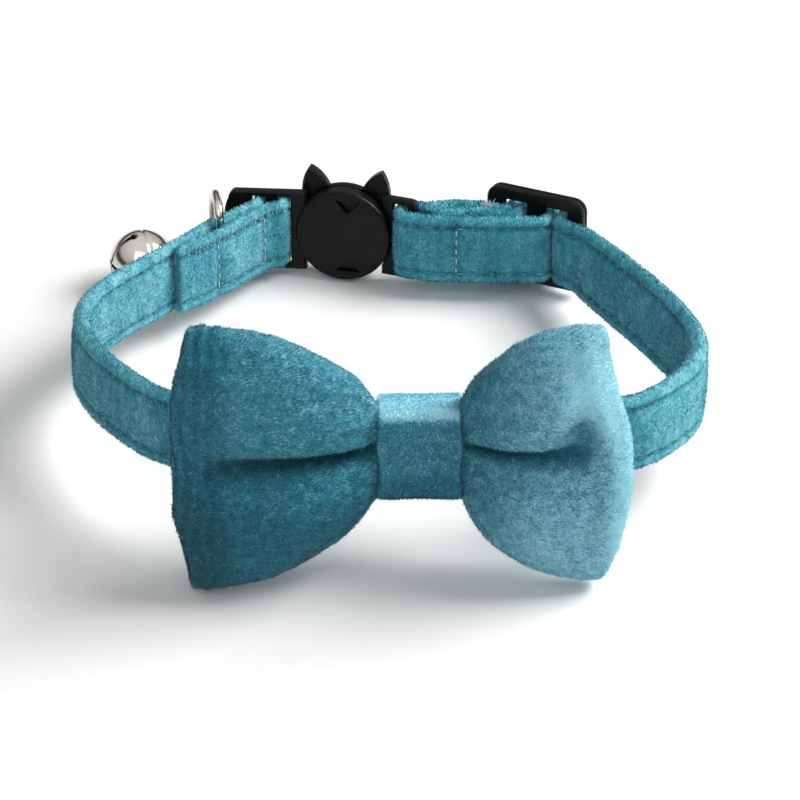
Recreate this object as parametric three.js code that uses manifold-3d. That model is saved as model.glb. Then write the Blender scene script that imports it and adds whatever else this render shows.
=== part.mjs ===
// Pet bow tie collar: a velvet strap with a padded bow, a two-piece buckle with cat ears, a slider,
// a D-ring and a jingle bell. It lies on its lower edges, with the bow towards -Y and the buckle at the back.
// Millimetres, +Z up. "Plan" is the collar's own flat layout before it is tipped back on the bow's corners.
import * as THREE from 'three';
import { mergeVertices } from 'three/addons/utils/BufferGeometryUtils.js';
import Module from 'manifold-3d';

// Neck ring, measured along the middle of the strap
const ringWide = 98; // left to right
const ringDeep = 66; // front to back
const collarTip = 8.4; // degrees that the ring's front is raised, because the bow is taller than the strap

// Strap
const stripWide = 11.8;
const stripThick = 2.6; // free padded velvet
const sewnThick = 1.9; // where layers are sewn or folded
const slotThick = 1.8; // squeezed in a slot
const edgeRound = 0.75; // roundness of the strap's long edges

// Gaps
const gap = 0.3; // between pieces that touch
const ringSlack = 0.4; // between hooked rings

// Buckle
const discRadius = 8.2;
const discThick = 2.6;
const backDiscThick = 1.6;
const discEdge = 0.45; // rounded rim
const plateThick = 1.7;
const plateRim = 1; // above and below the slots
const plateStart = 6.4; // from the disc's centre to where a plate leaves it
const plateLean = 9; // degrees that a plate turns towards the neck
const slotStart = 8.9; // from the disc's centre to the first slot
const foldBar = 1.8; // bar that the strap's tail wraps
const leftEndBar = 4.7;
const rightEndBar = 2.6;
const buckleTurn = 13; // degrees in plan
const earHigh = 11; // tip above the disc's centre
const earApart = 12.4; // tip to tip
const earThick = 2;
const notchDeep = 0.8; // triangular recesses in the disc
const notchWide = 4.3;
const notchHigh = 2.2;
const notchReach = 6.5; // outer side of a recess from the disc's centre
const notchAside = 1; // recesses sit a little to the right

// Slider
const sliderThick = 2.2;
const sliderRim = 2.1; // above and below the slots
const sliderLift = 0.5; // above the strap's middle
const sliderBar = 2.9;
const sliderCorner = 2.2;
const sliderGroove = 0.3;
const sliderTurn = 27; // degrees in plan

// Bow and its knot
const leftAbove = 23.3; // corners above the knot's middle
const rightAbove = 22.2;
const leftBelow = 21.1; // and below it
const rightBelow = 20.3;
const leftLobe = 33.8; // knot's middle to the outer corners
const rightLobe = 26.9;
const leftBulge = 3.3; // outer ends swell past their corners
const rightBulge = 4.8;
const bowPuff = 5.2; // front of a lobe, forward of its middle sheet
const bowBack = 3; // back of a lobe
const creaseDeep = 5.2;
const hemThick = 1.5; // half thickness at a lobe's rim
const pinchTuck = 0.6; // how much lower than the strap the bow is in its knot
const pinchThick = 3.2;
const lobeForward = 4.5; // lobes stand this far forward of the pinch
const bowLean = 2.9; // degrees back from the ring's own upright
const bowTurn = 1.2; // degrees in plan, left lobe forward
const bowAside = 2.85;
const knotWide = 12.3;
const knotWall = 1.2;
const knotDome = 0.5;
const knotPress = 2.2; // strap thickness inside the knot

// Ring, link and bell
const ringWire = 1.6;
const ringPlay = 1.8; // how much taller the ring's inside is than the strap
const ringLift = 0.9; // above the strap's middle
const ringReach = 12.2; // wire middle to wire middle, front to back
const ringCorner = 2;
const ringTurn = 98; // degrees in plan
const hookAngle = -48; // where the link hooks the ring's round side
const linkWire = 0.9;
const linkInner = 3.1;
const bellRadius = 5.5;
const bellWall = 0.7;
const bellSwing = 200; // degrees in plan, from the ring to the bell
const bellSlit = 0.7;
const slitEnd = 1.3; // hole at the end of a slit
const slitReach = 68; // degrees from the bell's pole
const loopInner = 1.35;
const loopWire = 0.9;
const pelletRadius = 1.5;

const teal = 0x2e93a6;
const darkTeal = 0x2a8599;
const black = 0x161618;
const nickel = 0xc9c4bd;

const degrees = Math.PI / 180;
const middle = stripWide / 2; // the strap's middle height in plan
const slotWide = slotThick + 2 * gap;
const slotHigh = stripWide + 2 * gap;
const plateHigh = slotHigh + 2 * plateRim;
const sliderHigh = slotHigh + 2 * sliderRim;
const pinchHigh = stripWide - pinchTuck;
const leftReach = slotStart + 2 * slotWide + foldBar + leftEndBar; // from the disc's centre
const sliderSlot = 2 * slotThick + 3 * gap;
const sliderLong = 3 * sliderBar + 2 * sliderSlot;
const wasm = await Module();
wasm.setup();

function material(color, roughness, metalness) {
  return new THREE.MeshStandardMaterial({ color, roughness, metalness });
}

function named(name, geometry, surface) {
  const mesh = new THREE.Mesh(geometry, surface);
  mesh.name = name;
  return mesh;
}

function toSolid(geometry) {
  const bare = geometry.clone();
  bare.deleteAttribute('normal');
  bare.deleteAttribute('uv');
  const merged = mergeVertices(bare, 1e-4);
  return new wasm.Manifold(new wasm.Mesh({
    numProp: 3,
    vertProperties: new Float32Array(merged.attributes.position.array),
    triVerts: new Uint32Array(merged.index.array),
  }));
}

function toGeometry(solid) {
  const cut = solid.getMesh();
  const geometry = new THREE.BufferGeometry();
  geometry.setAttribute('position', new THREE.BufferAttribute(cut.vertProperties, 3));
  geometry.setIndex(new THREE.BufferAttribute(cut.triVerts, 1));
  geometry.computeVertexNormals();
  return geometry;
}

// Joins rings of points into one closed body. The ends get fans, or the last ring meets the first.
function skin(rings, endless = false) {
  const around = rings[0].length;
  const points = rings.flat();
  const faces = [];
  const spans = endless ? rings.length : rings.length - 1;
  for (let i = 0; i < spans; i += 1) {
    const near = i * around;
    const far = ((i + 1) % rings.length) * around;
    for (let j = 0; j < around; j += 1) {
      const next = (j + 1) % around;
      faces.push(near + j, near + next, far + next, near + j, far + next, far + j);
    }
  }
  if (!endless) {
    for (const [ring, turned] of [[0, true], [rings.length - 1, false]]) {
      const hub = points.length;
      const sum = rings[ring].reduce((total, point) => total.add(point), new THREE.Vector3());
      points.push(sum.divideScalar(around));
      for (let j = 0; j < around; j += 1) {
        const a = ring * around + j;
        const b = ring * around + (j + 1) % around;
        faces.push(hub, turned ? b : a, turned ? a : b);
      }
    }
  }
  const geometry = new THREE.BufferGeometry().setFromPoints(points);
  geometry.setIndex(volumeOf(points, faces) < 0 ? faces.reverse() : faces);
  geometry.computeVertexNormals();
  return geometry;
}

function volumeOf(points, faces) {
  let total = 0;
  for (let i = 0; i < faces.length; i += 3) {
    const [a, b, c] = faces.slice(i, i + 3).map((index) => points[index]);
    total += a.dot(b.clone().cross(c)) / 6;
  }
  return total;
}

// Turns corner points into a smooth line: each corner becomes an arc of its own bend radius,
// or the largest that its shorter side has room for. Thickness and lean are carried along.
function roundedPath(corners, bendStep = 24 * degrees, longestStep = 6.5) {
  const path = [{ ...corners[0] }];
  for (let i = 1; i < corners.length - 1; i += 1) {
    const corner = corners[i];
    const before = corner.at.clone().sub(corners[i - 1].at);
    const after = corners[i + 1].at.clone().sub(corner.at);
    const shorter = Math.min(before.length(), after.length());
    before.normalize();
    after.normalize();
    const turn = Math.acos(THREE.MathUtils.clamp(before.dot(after), -1, 1));
    const side = Math.sign(before.x * after.y - before.y * after.x) || 1;
    const room = shorter / 2 / Math.tan(turn / 2);
    const radius = Math.min(corner.bend ?? room, room);
    const steps = Math.max(2, Math.ceil(turn / bendStep), Math.ceil((radius * turn) / longestStep));
    const start = corner.at.clone().addScaledVector(before, -radius * Math.tan(turn / 2));
    const hub = start.clone().add(new THREE.Vector2(-before.y, before.x).multiplyScalar(side * radius));
    for (let k = 0; k <= steps; k += 1) {
      const at = start.clone().rotateAround(hub, (side * turn * k) / steps);
      path.push({ ...corner, at });
    }
  }
  path.push({ ...corners[corners.length - 1] });
  return path.filter((point, i) => i === 0 || point.at.distanceTo(path[i - 1].at) > 0.02);
}

// Spreads thickness and lean evenly between the corners, so that nothing steps.
function easePath(path) {
  return path.map((point, i) => {
    const near = path.slice(Math.max(0, i - 2), i + 3);
    const mean = (key) => near.reduce((sum, each) => sum + each[key], 0) / near.length;
    return { at: point.at, thick: point.firm ? point.thick : mean('thick'), lean: mean('lean') };
  });
}

// Local frames of the buckle, the slider and the ring, each with its place in plan
const buckleAt = new THREE.Vector2(-0.0935 * ringWide, 0.7288 * ringDeep);
const sliderAt = new THREE.Vector2(0.2337 * ringWide, 0.6712 * ringDeep);
const knotAt = new THREE.Vector2(bowAside, -0.383 * ringDeep);

// Shares of the left plate's reach, measured from the buckle's centre
function besideBuckle(right, back) {
  return new THREE.Vector2(buckleAt.x + right * leftReach, buckleAt.y + back * leftReach);
}

const ringAt = besideBuckle(-1.0267, -0.4876);

function local(origin, turn, along, out) {
  const c = Math.cos(turn * degrees);
  const s = Math.sin(turn * degrees);
  return new THREE.Vector2(origin.x + along * c + out * s, origin.y - along * s + out * c);
}

// How far a plate has come towards the neck at this distance from the disc's centre
function plateRise(along) {
  return Math.max(0, Math.abs(along) - plateStart) * Math.tan(plateLean * degrees);
}

function onBuckle(along, out) {
  return local(buckleAt, buckleTurn, along, out - plateRise(along));
}

function onSlider(along, out) {
  return local(sliderAt, sliderTurn, along, out);
}

function inPlan(across, deep) {
  return new THREE.Vector2(across * ringWide, deep * ringDeep);
}

// The left plate's neck side and outer side, and the right plate's, measured outward from the neck
const leftPlate = { neck: -gap / 2 - 2.1, outer: -gap / 2 - 2.1 + plateThick };
const rightPlate = { neck: -1, outer: -1 + plateThick };
const halfSlot = slotThick / 2 + gap;
const foldSlot = -(slotStart + halfSlot); // tail goes out here
const runSlot = -(slotStart + slotWide + foldBar + halfSlot); // and comes back here
const rightSlot = slotStart - gap + halfSlot;

// Strap corners from the tail's sewn end, round the neck, to the folded end inside the slider's layers.
// Rows with right and back are shares of the left plate's reach from the buckle's centre, and rows with
// across and deep are shares of the ring's width and depth. Thick is a share of the free strap's
// thickness, lean is degrees outward at the strap's upper edge.
const tailRows = [
  { right: -1.353, back: -0.9554, thick: 0.65, lean: 0 },
  { right: -1.1752, back: -0.7946, thick: 0.7, lean: 0 },
];
const tailEndRows = [
  { right: -0.8089, back: -0.3168, thick: 0.7, lean: 0 },
  { right: -0.6307, back: -0.104, thick: 0.7, lean: 0 },
];
const leftRows = [
  { right: -0.9079, back: -0.2426, thick: 0.7, lean: 0 },
];
const pastRingRows = [
  { right: -1.2, back: -0.5842, thick: 0.68, lean: 0 },
  { right: -1.348, back: -0.7921, thick: 0.68, lean: 0 },
];
const neckRows = [
  { across: -0.4194, deep: 0.3879, thick: 1, lean: 0 },
  { across: -0.4653, deep: 0.3015, thick: 1, lean: -1 },
  { across: -0.5041, deep: 0.197, thick: 1, lean: -1 },
  { across: -0.5153, deep: 0.1, thick: 1, lean: -2 },
  { across: -0.5082, deep: 0, thick: 1, lean: -3 },
  { across: -0.4806, deep: -0.0985, thick: 1, lean: -4 },
  { across: -0.44, deep: -0.196, thick: 1, lean: -6 },
  { across: -0.385, deep: -0.297, thick: 1, lean: -6 },
  { across: -0.325, deep: -0.354, thick: 1, lean: -5 },
  { across: -0.2347, deep: -0.384, thick: 0.92, lean: -bowLean },
];
const rightRows = [
  { across: 0.2959, deep: -0.372, thick: 0.92, lean: -bowLean },
  { across: 0.3622, deep: -0.347, thick: 1, lean: -5 },
  { across: 0.4055, deep: -0.291, thick: 1, lean: -6 },
  { across: 0.4525, deep: -0.197, thick: 1, lean: -3 },
  { across: 0.4714, deep: -0.1091, thick: 1, lean: 0 },
  { across: 0.4735, deep: -0.0227, thick: 1, lean: 4 },
  { across: 0.4541, deep: 0.0833, thick: 1, lean: 9 },
  { across: 0.4265, deep: 0.1894, thick: 1, lean: 12 },
  { across: 0.3929, deep: 0.2985, thick: 1, lean: 12 },
  { across: 0.352, deep: 0.4197, thick: 1, lean: 10 },
  { across: 0.3286, deep: 0.4848, thick: 1, lean: 8 },
  { across: 0.3061, deep: 0.5545, thick: 0.8, lean: 3 },
];
const outerRows = [
  { across: 0.0949, deep: 0.7152, thick: 0.73, lean: 0 },
];
const innerRows = [
  { across: 0.051, deep: 0.6167, thick: 0.85, lean: 0 },
  { across: 0.1429, deep: 0.6106, thick: 0.8, lean: 0 },
  { across: 0.2051, deep: 0.6091, thick: 0.75, lean: 0 },
];
const foldedEndRows = [
  { across: 0.0592, deep: 0.6515, thick: 0.7, lean: 0 },
];

function fromRows(rows) {
  return rows.map((row) => ({
    at: inPlan(row.across, row.deep), thick: row.thick * stripThick, lean: row.lean,
  }));
}

function fromBuckleRows(rows) {
  return rows.map((row) => ({
    at: besideBuckle(row.right, row.back), thick: row.thick * stripThick, lean: row.lean,
  }));
}

function fold(at, bend, thick = slotThick) {
  return { at, bend, thick, lean: 0, firm: true };
}

// The strap squeezed between the knot and the bow's pinch
function throughKnot() {
  const reach = knotWide / 2 + 3;
  return [-reach, reach].map((along) => ({
    at: local(knotAt, -bowTurn, along, 0), thick: knotPress, lean: -bowLean, firm: true,
  }));
}

function strapCorners() {
  const tight = slotThick / 2 + gap; // bend that keeps the gap to a bar's corner
  const besideWire = ringWire / 2 + gap + (0.68 * stripThick) / 2;
  const wireTurn = -41.3; // the strap's heading beside the D-ring, degrees
  const layer = slotThick + gap;
  const inRightSlot = sliderBar / 2 + halfSlot;
  const inFarSlot = sliderBar / 2 + sliderSlot - halfSlot;
  const wrapOut = sliderThick / 2 + halfSlot;
  const neckSide = -sliderThick / 2 - halfSlot;
  return [
    ...fromBuckleRows(tailRows),
    { at: local(ringAt, wireTurn, 0, -besideWire), thick: 0.68 * stripThick, lean: 0 },
    ...fromBuckleRows(tailEndRows),
    fold(onBuckle(foldSlot, leftPlate.neck - tight - 0.3), tight),
    fold(onBuckle(foldSlot, leftPlate.outer + tight), tight),
    fold(onBuckle(runSlot, leftPlate.outer + tight), tight),
    fold(onBuckle(runSlot, leftPlate.neck - tight), tight),
    ...fromBuckleRows(leftRows),
    { at: local(ringAt, wireTurn, 0, besideWire), thick: 0.68 * stripThick, lean: 0 },
    ...fromBuckleRows(pastRingRows),
    ...fromRows(neckRows),
    ...throughKnot(),
    ...fromRows(rightRows),
    fold(onSlider(inFarSlot + 3.4, neckSide - 1.1), 6, sewnThick),
    fold(onSlider(inFarSlot, neckSide), tight),
    fold(onSlider(inFarSlot, wrapOut + layer), inFarSlot - sliderBar / 2),
    fold(onSlider(-inFarSlot, wrapOut + layer), inFarSlot - sliderBar / 2),
    fold(onSlider(-inFarSlot, neckSide), tight),
    fold(onSlider(-inFarSlot - sliderBar - 1, neckSide), 4, sewnThick),
    ...fromRows(outerRows),
    fold(onBuckle(rightSlot + rightEndBar + 1.4, rightPlate.outer + tight), 4, sewnThick),
    fold(onBuckle(rightSlot, rightPlate.outer + tight), tight),
    fold(onBuckle(rightSlot, rightPlate.neck - tight - 0.5), tight),
    ...fromRows(innerRows),
    fold(onSlider(inRightSlot, neckSide - 0.7), tight),
    fold(onSlider(inRightSlot, wrapOut), tight),
    fold(onSlider(-inRightSlot, wrapOut), tight),
    fold(onSlider(-inRightSlot, neckSide - 0.5), tight),
    fold(onSlider(-inFarSlot - sliderBar - 1, neckSide - layer), 4, sewnThick),
    ...fromRows(foldedEndRows),
  ];
}

// One padded strip with rounded long edges, standing on edge along its path
function makeBand() {
  const path = easePath(roundedPath(strapCorners()));
  const rings = path.map((point, i) => {
    const back = path[Math.max(i - 1, 0)].at;
    const ahead = path[Math.min(i + 1, path.length - 1)].at;
    const heading = ahead.clone().sub(back).normalize();
    const tilt = point.lean * degrees;
    const out = new THREE.Vector3(heading.y * Math.cos(tilt), -heading.x * Math.cos(tilt), -Math.sin(tilt));
    const up = new THREE.Vector3(heading.y * Math.sin(tilt), -heading.x * Math.sin(tilt), Math.cos(tilt));
    const half = point.thick / 2;
    const round = Math.min(edgeRound, half * 0.8);
    const tall = stripWide / 2;
    const outline = [
      [half, tall - round], [half - round, tall], [round - half, tall], [-half, tall - round],
      [-half, round - tall], [round - half, -tall], [half - round, -tall], [half, round - tall],
    ];
    return outline.map(([side, rise]) => new THREE.Vector3(point.at.x, point.at.y, middle)
      .addScaledVector(out, side).addScaledVector(up, rise));
  });
  return skin(rings);
}

// Bow: rows from the knot's edge to a lobe's outer end. out and rise are shares of the way to the
// corner, puff, back and crease are shares of their named sizes, forward is a share of lobeForward,
// fold and wide are the crease's height and width as shares of the lobe's half height.
const leftLobeRows = [
  { out: 0.04, rise: 0.24, puff: 0.2, back: 0.2, crease: 0.3, forward: 0.13, fold: 0, wide: 0.5 },
  { out: 0.1, rise: 0.36, puff: 0.42, back: 0.42, crease: 0.58, forward: 0.3, fold: 0, wide: 0.48 },
  { out: 0.17, rise: 0.46, puff: 0.6, back: 0.6, crease: 0.78, forward: 0.48, fold: 0, wide: 0.46 },
  { out: 0.25, rise: 0.56, puff: 0.77, back: 0.78, crease: 0.92, forward: 0.64, fold: -0.01, wide: 0.44 },
  { out: 0.34, rise: 0.655, puff: 0.89, back: 0.91, crease: 1, forward: 0.77, fold: -0.02, wide: 0.43 },
  { out: 0.44, rise: 0.745, puff: 0.97, back: 0.98, crease: 1, forward: 0.87, fold: -0.04, wide: 0.43 },
  { out: 0.54, rise: 0.82, puff: 1, back: 1, crease: 0.98, forward: 0.94, fold: -0.06, wide: 0.44 },
  { out: 0.64, rise: 0.885, puff: 0.99, back: 0.96, crease: 0.92, forward: 0.98, fold: -0.07, wide: 0.46 },
  { out: 0.74, rise: 0.93, puff: 0.94, back: 0.88, crease: 0.8, forward: 1, fold: -0.06, wide: 0.46 },
  { out: 0.83, rise: 0.965, puff: 0.85, back: 0.78, crease: 0.6, forward: 1, fold: -0.05, wide: 0.42 },
  { out: 0.91, rise: 0.985, puff: 0.7, back: 0.64, crease: 0.34, forward: 1, fold: -0.04, wide: 0.36 },
  { out: 0.97, rise: 1, puff: 0.5, back: 0.44, crease: 0.14, forward: 1, fold: -0.04, wide: 0.3 },
];
const rightLobeRows = [
  { out: 0.04, rise: 0.3, puff: 0.2, back: 0.2, crease: 0.3, forward: 0.13, fold: 0, wide: 0.5 },
  { out: 0.1, rise: 0.44, puff: 0.42, back: 0.42, crease: 0.56, forward: 0.3, fold: 0, wide: 0.46 },
  { out: 0.17, rise: 0.55, puff: 0.6, back: 0.6, crease: 0.74, forward: 0.48, fold: 0, wide: 0.42 },
  { out: 0.25, rise: 0.65, puff: 0.76, back: 0.78, crease: 0.86, forward: 0.64, fold: 0.01, wide: 0.38 },
  { out: 0.34, rise: 0.74, puff: 0.88, back: 0.91, crease: 0.9, forward: 0.77, fold: 0.02, wide: 0.35 },
  { out: 0.44, rise: 0.82, puff: 0.96, back: 0.98, crease: 0.88, forward: 0.87, fold: 0.03, wide: 0.34 },
  { out: 0.54, rise: 0.88, puff: 1, back: 1, crease: 0.84, forward: 0.94, fold: 0.04, wide: 0.34 },
  { out: 0.64, rise: 0.92, puff: 0.99, back: 0.96, crease: 0.78, forward: 0.98, fold: 0.06, wide: 0.36 },
  { out: 0.74, rise: 0.955, puff: 0.94, back: 0.88, crease: 0.7, forward: 1, fold: 0.1, wide: 0.4 },
  { out: 0.83, rise: 0.975, puff: 0.84, back: 0.78, crease: 0.5, forward: 1, fold: 0.16, wide: 0.44 },
  { out: 0.91, rise: 0.99, puff: 0.7, back: 0.64, crease: 0.24, forward: 1, fold: 0.24, wide: 0.44 },
  { out: 0.97, rise: 1, puff: 0.5, back: 0.44, crease: 0.06, forward: 1, fold: 0.28, wide: 0.4 },
];
// Outer ends in two steps: how thick they still are, and how far they stand past the last row
const endRows = [
  { thick: 0.75, past: 0.8 },
  { thick: 0.35, past: 1.3 },
];
const frontSteps = 20;
const backSteps = 8;

// One closed section of the bow: its front from bottom to top, then its back from top to bottom
function bowSection(shape) {
  const points = [];
  const half = (shape.up + shape.down) / 2;
  const place = (level, depth) => {
    const tip = Math.abs(level) === 1 ? 0.985 : 1;
    points.push(new THREE.Vector3(
      shape.x + Math.sign(shape.x) * shape.swell * (1 - level * level), depth,
      half * tip * level + (shape.up - shape.down) / 2,
    ));
  };
  for (let i = 0; i <= frontSteps; i += 1) {
    const level = (2 * i) / frontSteps - 1;
    const dome = (1 - Math.abs(level) ** 2.4) ** 0.7;
    const dent = Math.max(0, 1 - Math.abs(level - shape.fold) / shape.wide) ** 2;
    place(level, shape.sheet - shape.hem - shape.puff * dome + shape.crease * dent);
  }
  for (let i = 0; i <= backSteps; i += 1) {
    const level = 1 - (2 * i) / backSteps;
    place(level, shape.sheet + shape.hem + shape.back * (1 - level * level) ** 0.7);
  }
  return points;
}

function lobeSections(side, corner, bulge, above, below, rows) {
  const edge = knotWide / 2;
  const from = pinchHigh / 2;
  return rows.map((row) => bowSection({
    x: side * (edge + row.out * (corner - edge)),
    up: from + row.rise * (above - from),
    down: from + row.rise * (below - from),
    hem: hemThick,
    puff: row.puff * bowPuff,
    back: row.back * bowBack,
    crease: row.crease * creaseDeep,
    fold: row.fold,
    wide: row.wide,
    sheet: -row.forward * lobeForward,
    swell: bulge * row.out ** 5,
  }));
}

function lobeEnds(section, side) {
  const middleOf = section.reduce((sum, point) => sum + point.y, 0) / section.length;
  return endRows.map((row) => section.map((point) => new THREE.Vector3(
    point.x + side * row.past, middleOf + (point.y - middleOf) * row.thick,
    point.z * (1 - (1 - row.thick) * 0.04),
  )));
}

function makeBow() {
  const pinch = (x) => bowSection({
    x, up: pinchHigh / 2, down: pinchHigh / 2, hem: pinchThick / 2 - 0.3, puff: 0.3, back: 0.3,
    crease: 0, fold: 0, wide: 1, sheet: 0, swell: 0,
  });
  const left = lobeSections(-1, leftLobe, leftBulge, leftAbove, leftBelow, leftLobeRows).reverse();
  const right = lobeSections(1, rightLobe, rightBulge, rightAbove, rightBelow, rightLobeRows);
  return skin([
    ...lobeEnds(left[0], -1).reverse(), ...left,
    pinch(-knotWide / 2), pinch(0), pinch(knotWide / 2),
    ...right, ...lobeEnds(right[right.length - 1], 1),
  ]);
}

function roundedBox(left, right, low, high, radius) {
  const shape = new THREE.Shape();
  shape.moveTo(left + radius, low);
  shape.lineTo(right - radius, low);
  shape.absarc(right - radius, low + radius, radius, -Math.PI / 2, 0, false);
  shape.lineTo(right, high - radius);
  shape.absarc(right - radius, high - radius, radius, 0, Math.PI / 2, false);
  shape.lineTo(left + radius, high);
  shape.absarc(left + radius, high - radius, radius, Math.PI / 2, Math.PI, false);
  shape.lineTo(left, low + radius);
  shape.absarc(left + radius, low + radius, radius, Math.PI, 1.5 * Math.PI, false);
  return shape;
}

// Extrudes a shape along +Z from 0, with its sharp edges eased by a small bevel
function plate(shape, thick, ease, curveSegments = 4, easeSteps = 1) {
  const geometry = new THREE.ExtrudeGeometry(shape, {
    depth: thick - 2 * ease, bevelEnabled: true, bevelThickness: ease, bevelSize: ease,
    bevelOffset: -ease, bevelSegments: easeSteps, curveSegments,
  });
  return geometry.translate(0, 0, ease);
}

// Knot: a fabric loop round the bow's pinch and the strap, drawn as depth against height
const knotFront = pinchThick / 2 + gap + knotWall; // from the pinch's middle to the knot's face
const knotInside = pinchThick + knotPress + 3 * gap;
const knotDepth = knotInside + 2 * knotWall;
const knotHigh = stripWide + 2 * gap + 2 * knotWall;

function makeKnot() {
  const half = knotHigh / 2;
  const corner = 2.6;
  const shape = new THREE.Shape();
  shape.moveTo(-knotFront + corner, -half);
  shape.lineTo(knotDepth - knotFront - corner, -half);
  shape.quadraticCurveTo(knotDepth - knotFront, -half, knotDepth - knotFront, corner - half);
  shape.lineTo(knotDepth - knotFront, half - corner);
  shape.quadraticCurveTo(knotDepth - knotFront, half, knotDepth - knotFront - corner, half);
  shape.lineTo(-knotFront + corner, half);
  shape.quadraticCurveTo(-knotFront, half, -knotFront, half - corner);
  shape.quadraticCurveTo(-knotFront - 2 * knotDome, 0, -knotFront, corner - half);
  shape.quadraticCurveTo(-knotFront, -half, -knotFront + corner, -half);
  const inside = half - knotWall;
  shape.holes.push(roundedBox(knotWall - knotFront, knotWall - knotFront + knotInside, -inside, inside, 1));
  const geometry = plate(shape, knotWide, 0.45, 5, 2);
  // the drawing's depth becomes Y, its height Z and its thickness X
  geometry.applyMatrix4(new THREE.Matrix4().makeBasis(
    new THREE.Vector3(0, 1, 0), new THREE.Vector3(0, 0, 1), new THREE.Vector3(1, 0, 0),
  ));
  return geometry.translate(-knotWide / 2, 0, 0);
}

// Buckle pieces are drawn face on: X along the buckle, Y up, Z towards the neck
function discSolid(radius, thick, neckSide) {
  const profile = [
    [0, 0], [radius - discEdge, 0], [radius - 0.3 * discEdge, 0.3 * discEdge], [radius, discEdge],
    [radius, thick - discEdge], [radius - 0.3 * discEdge, thick - 0.3 * discEdge],
    [radius - discEdge, thick], [0, thick],
  ].map(([r, h]) => new THREE.Vector2(r, h));
  const geometry = new THREE.LatheGeometry(profile, 40);
  geometry.rotateX(Math.PI / 2);
  return toSolid(geometry.translate(0, 0, neckSide - thick));
}

function endPlate(side, reach, slots) {
  const half = plateHigh / 2;
  const shape = new THREE.Shape();
  shape.moveTo(plateStart, -half);
  shape.lineTo(reach - 2, -half);
  shape.quadraticCurveTo(reach - 1.1, -half, reach - 0.8, 1.6 - half);
  shape.quadraticCurveTo(reach, 3.2 - half, reach, 0);
  shape.quadraticCurveTo(reach, half - 3.2, reach - 0.8, half - 1.6);
  shape.quadraticCurveTo(reach - 1.1, half, reach - 2, half);
  shape.lineTo(plateStart, half);
  for (const start of slots) {
    shape.holes.push(roundedBox(start, start + slotWide, -slotHigh / 2, slotHigh / 2, 0.5));
  }
  const geometry = plate(shape, plateThick, 0.3, 5, 1);
  const place = geometry.attributes.position;
  for (let i = 0; i < place.count; i += 1) {
    place.setZ(i, place.getZ(i) + plateRise(place.getX(i)));
  }
  return side < 0 ? mirrored(geometry) : geometry;
}

// Turns a geometry left for right, and its faces back outward
function mirrored(geometry) {
  const place = geometry.attributes.position;
  const turned = [];
  for (let i = 0; i < place.count; i += 3) {
    for (const corner of [i, i + 2, i + 1]) {
      turned.push(-place.getX(corner), place.getY(corner), place.getZ(corner));
    }
  }
  return new THREE.BufferGeometry()
    .setAttribute('position', new THREE.Float32BufferAttribute(turned, 3));
}

function notch(side) {
  const shape = new THREE.Shape();
  const outer = side * notchReach;
  const inner = side * (notchReach - notchHigh);
  shape.moveTo(notchAside - notchWide / 2, outer);
  shape.lineTo(notchAside + notchWide / 2, outer);
  shape.lineTo(notchAside + 0.25, inner);
  shape.lineTo(notchAside - 0.25, inner);
  const geometry = new THREE.ExtrudeGeometry(shape, { depth: 2 * notchDeep, bevelEnabled: false });
  return toSolid(geometry.translate(0, 0, gap / 2 + discThick - notchDeep));
}

function makeDiscHalf() {
  const slots = [slotStart, slotStart + slotWide + foldBar];
  const arm = toSolid(endPlate(-1, leftReach, slots).translate(0, 0, -leftPlate.outer));
  const disc = discSolid(discRadius, discThick, gap / 2 + discThick);
  return toGeometry(disc.add(arm).subtract(notch(1)).subtract(notch(-1)));
}

function earSolid(side) {
  const shape = new THREE.Shape();
  const tip = earApart / 2;
  shape.moveTo(side * (tip + 1.2), 3.4);
  shape.quadraticCurveTo(side * (tip + 1.9), 8.6, side * tip, earHigh);
  shape.quadraticCurveTo(side * (tip - 2.6), earHigh - 1, side * (tip - 3.9), 6.4);
  shape.lineTo(side * (tip - 3), 4);
  const geometry = plate(shape, earThick, 0.35, 8, 1);
  return toSolid(geometry.translate(0, 0, -gap / 2 - backDiscThick));
}

function makeEarHalf() {
  const start = slotStart - gap;
  const arm = toSolid(endPlate(1, start + slotWide + rightEndBar, [start]).translate(0, 0, -rightPlate.outer));
  const disc = discSolid(discRadius, backDiscThick, -gap / 2);
  const room = new THREE.CylinderGeometry(discRadius + gap, discRadius + gap, 8, 40);
  room.rotateX(Math.PI / 2).translate(0, 0, 4 - gap / 2);
  return toGeometry(disc.add(arm).add(earSolid(-1)).add(earSolid(1)).subtract(toSolid(room)));
}

// Slider: a rounded frame with two slots, and a groove round its rim
function makeSlider() {
  const outline = () => {
    const half = sliderLong / 2;
    const shape = roundedBox(-half, half, -sliderHigh / 2, sliderHigh / 2, sliderCorner);
    for (const start of [-sliderBar / 2 - sliderSlot, sliderBar / 2]) {
      shape.holes.push(roundedBox(start, start + sliderSlot, -sliderLift - slotHigh / 2, slotHigh / 2, 0.5));
    }
    return shape;
  };
  const neckPart = toSolid(plate(outline(), sliderThick * 0.55, sliderGroove, 3).translate(0, 0, -0.05 * sliderThick));
  const outerPart = toSolid(plate(outline(), sliderThick * 0.5, sliderGroove, 3).translate(0, 0, -sliderThick / 2));
  return toGeometry(neckPart.add(outerPart));
}

// D-ring: a straight side with rounded corners and a round side, drawn in XY
const ringHalf = (stripWide + ringPlay + ringWire) / 2;

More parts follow.
